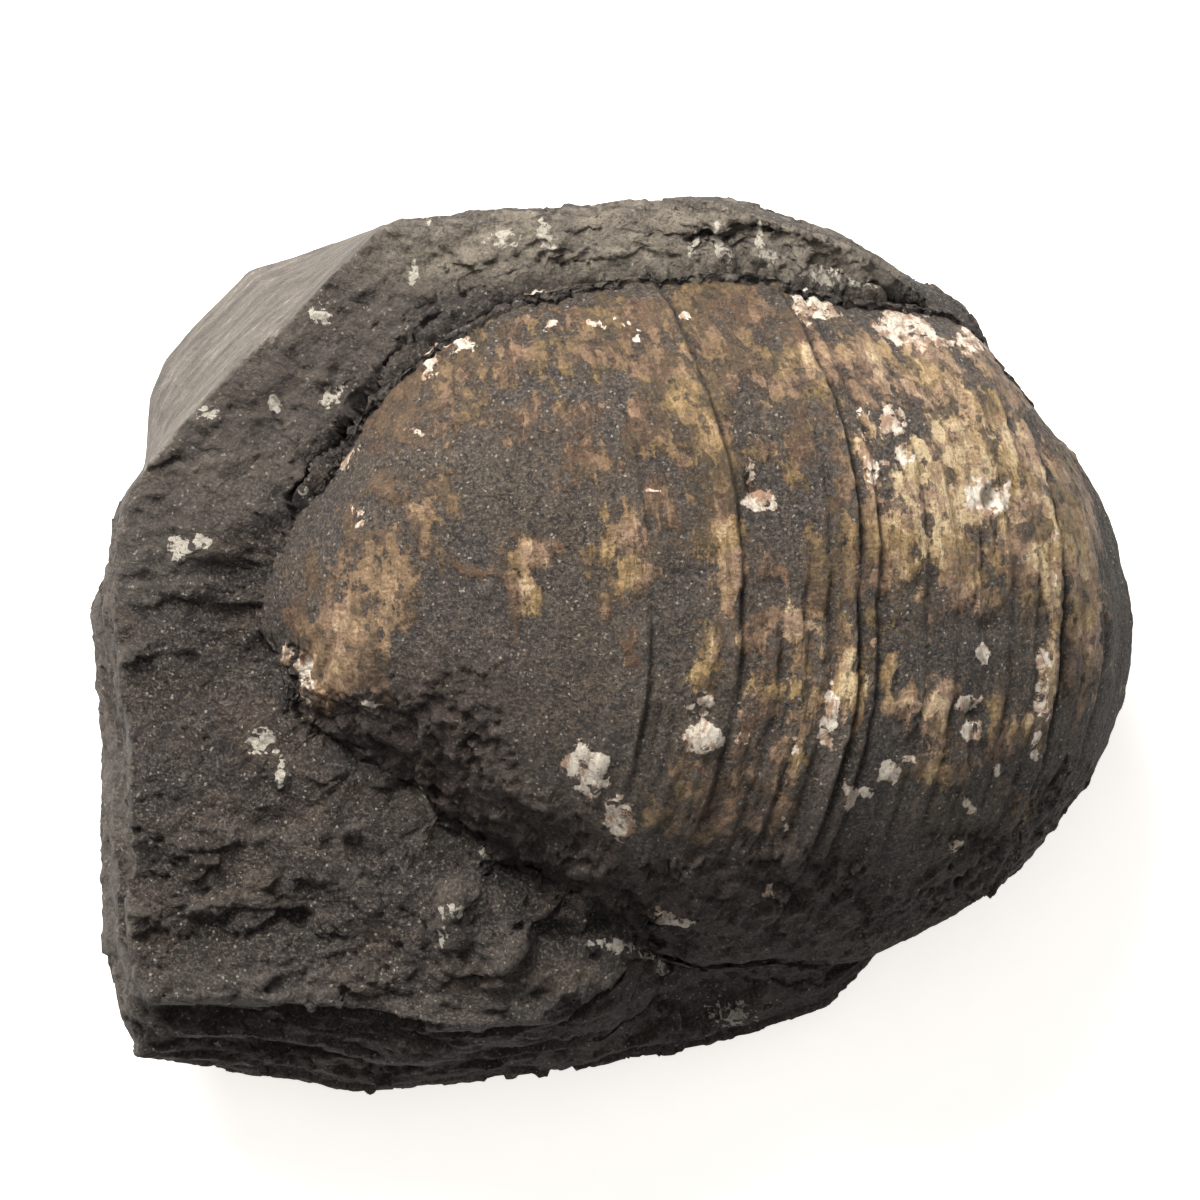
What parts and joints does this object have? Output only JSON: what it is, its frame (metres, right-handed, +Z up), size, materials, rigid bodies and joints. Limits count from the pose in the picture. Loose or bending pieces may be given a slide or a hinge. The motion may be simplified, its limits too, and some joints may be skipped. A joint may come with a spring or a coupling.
{
  "type": "fossil brachiopod",
  "caption": "Domed fossil shell with growth lines, set in a broken block of dark shaly rock that lies on a small flat spot.",
  "frame": {"origin": "below the middle of the specimen's box, on the plane of its flat resting face", "axes": "+X from the shell's beak towards its outer margin, +Y across the shell, +Z up, out of the dome"},
  "size_m": [0.05, 0.0428, 0.0253],
  "materials": {
    "shaly_rock": "dull dark grey-brown broken surface with fine sparkling grains",
    "fossil_shell": "dark grey mould with thin satin brown shell left on it and white calcite chips"
  },
  "bodies": {
    "root": {"matrix_block": "shaly_rock", "brachiopod_valve": "fossil_shell"}
  },
  "joints": []
}
